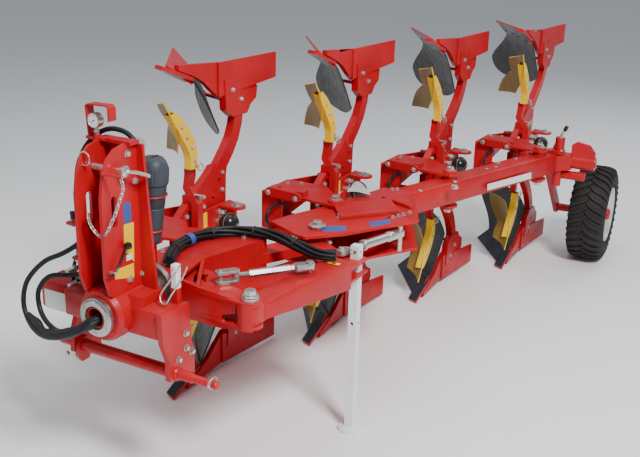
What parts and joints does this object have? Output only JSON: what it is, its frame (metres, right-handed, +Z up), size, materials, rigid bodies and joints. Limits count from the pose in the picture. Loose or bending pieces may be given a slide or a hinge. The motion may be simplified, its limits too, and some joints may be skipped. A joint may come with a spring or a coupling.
{
  "type": "moldboard plough",
  "caption": "Reversible moldboard plough with paired bodies on a slanting beam, tractor headstock, parking stand and rear depth wheel.",
  "frame": {"origin": "on the ground, under the centre of the plough's bounding box", "axes": "+Z up, -Y towards the tractor along the direction of travel, +X towards the unploughed side where the stand and wheel are"},
  "size_m": [2.1005, 4.853, 1.8],
  "materials": {
    "red": "glossy red paint with dust",
    "slate": "dark slate paint, satin",
    "yellow": "yellow paint, satin",
    "zinc": "zinc-plated steel",
    "galvanised": "dull galvanised steel",
    "black": "black paint, satin",
    "tool_case": "grey plastic",
    "tyre": "matt rubber",
    "rim": "silver paint",
    "hose": "black rubber hose"
  },
  "bodies": {
    "frame": {"frame_pivot_pin": "zinc", "main_beam": "red", "wheel_bracket": "red"},
    "console": {"turnover_console": "red", "turnover_shaft": "zinc", "front_arm": "red", "front_turnbuckle": "zinc", "tool_case": "tool_case", "hose_bundle": "hose", "carrier_1": "red", "accumulator_1": "black", "leg_lower_1": "red", "leg_upper_1": "red", "moldboard_lower_1": "slate", "moldboard_upper_1": "slate", "skimmer_lower_1": "yellow", "skimmer_upper_1": "yellow"},
    "headstock": {"headstock": "red", "hitch_axle": "red", "top_link_tower": "red", "top_link_pin": "zinc", "pressure_gauge": "zinc", "valve_box": "red", "hose_outer": "hose", "hose_inner": "hose", "hose_upper": "hose"},
    "stand": {"parking_stand": "galvanised"},
    "wheel_arm": {"wheel_arm": "red"},
    "wheel": {"tire": "tyre", "wheel_rim": "rim"},
    "turnbuckle_tube": {"rear_turnbuckle_tube": "zinc"},
    "turnbuckle_rod": {"rear_turnbuckle_rod": "zinc"},
    "body_2": {"carrier_2": "red", "accumulator_2": "black", "leg_lower_2": "red", "leg_upper_2": "red", "moldboard_lower_2": "slate", "moldboard_upper_2": "slate", "skimmer_lower_2": "yellow", "skimmer_upper_2": "yellow"},
    "body_3": {"carrier_3": "red", "accumulator_3": "black", "leg_lower_3": "red", "leg_upper_3": "red", "moldboard_lower_3": "slate", "moldboard_upper_3": "slate", "skimmer_lower_3": "yellow", "skimmer_upper_3": "yellow"},
    "body_4": {"carrier_4": "red", "accumulator_4": "black", "leg_lower_4": "red", "leg_upper_4": "red", "moldboard_lower_4": "slate", "moldboard_upper_4": "slate", "skimmer_lower_4": "yellow", "skimmer_upper_4": "yellow"}
  },
  "joints": [
    {"name": "working_width", "type": "hinge", "parent": "frame", "child": "console", "pos_m": [0.134, -1.064, 0.9], "axis": [0, 0, 1], "range_deg": [-4.8, 15]},
    {"name": "turnover", "type": "hinge", "parent": "console", "child": "headstock", "pos_m": [-0.191, -2.174, 0.9], "axis": [0, 1, 0], "range_deg": [0, 180]},
    {"name": "stand_lift", "type": "slide", "parent": "console", "child": "stand", "axis": [0, 0, 1], "range_m": [0, 0.6]},
    {"name": "wheel_swing", "type": "hinge", "parent": "frame", "child": "wheel_arm", "pos_m": [0.794, 1.446, 0.9], "axis": [0.999, 0.044, 0], "range_deg": [0, 82]},
    {"name": "wheel_spin", "type": "hinge", "parent": "wheel_arm", "child": "wheel", "pos_m": [0.894, 2.053, 0.371], "axis": [0.999, 0.044, 0], "continuous": true},
    {"name": "turnbuckle_turn", "type": "hinge", "parent": "frame", "child": "turnbuckle_tube", "pos_m": [0.461, -0.754, 0.93], "axis": [0, 0, 1], "range_deg": [-1.7, 5]},
    {"name": "turnbuckle_slide", "type": "slide", "parent": "turnbuckle_tube", "child": "turnbuckle_rod", "axis": [-0.1584, -0.9851, 0.0668], "range_m": [-0.075, 0.026]},
    {"name": "body_2_turn", "type": "hinge", "parent": "frame", "child": "body_2", "pos_m": [0.03777, -0.6803, 0.9], "axis": [0, 0, 1], "range_deg": [-5, 15.2]},
    {"name": "body_3_turn", "type": "hinge", "parent": "frame", "child": "body_3", "pos_m": [0.33854, 0.27339, 0.9], "axis": [0, 0, 1], "range_deg": [-5, 15.2]},
    {"name": "body_4_turn", "type": "hinge", "parent": "frame", "child": "body_4", "pos_m": [0.63931, 1.22709, 0.9], "axis": [0, 0, 1], "range_deg": [-5, 15.2]}
  ],
  "couplings": [
    {"joint": "turnbuckle_turn", "follows": "working_width", "ratio": 0.30698},
    {"joint": "turnbuckle_slide", "follows": "working_width", "m_per_rad": -0.27303},
    {"joint": "body_2_turn", "follows": "working_width", "ratio": 1},
    {"joint": "body_3_turn", "follows": "working_width", "ratio": 1},
    {"joint": "body_4_turn", "follows": "working_width", "ratio": 1}
  ]
}
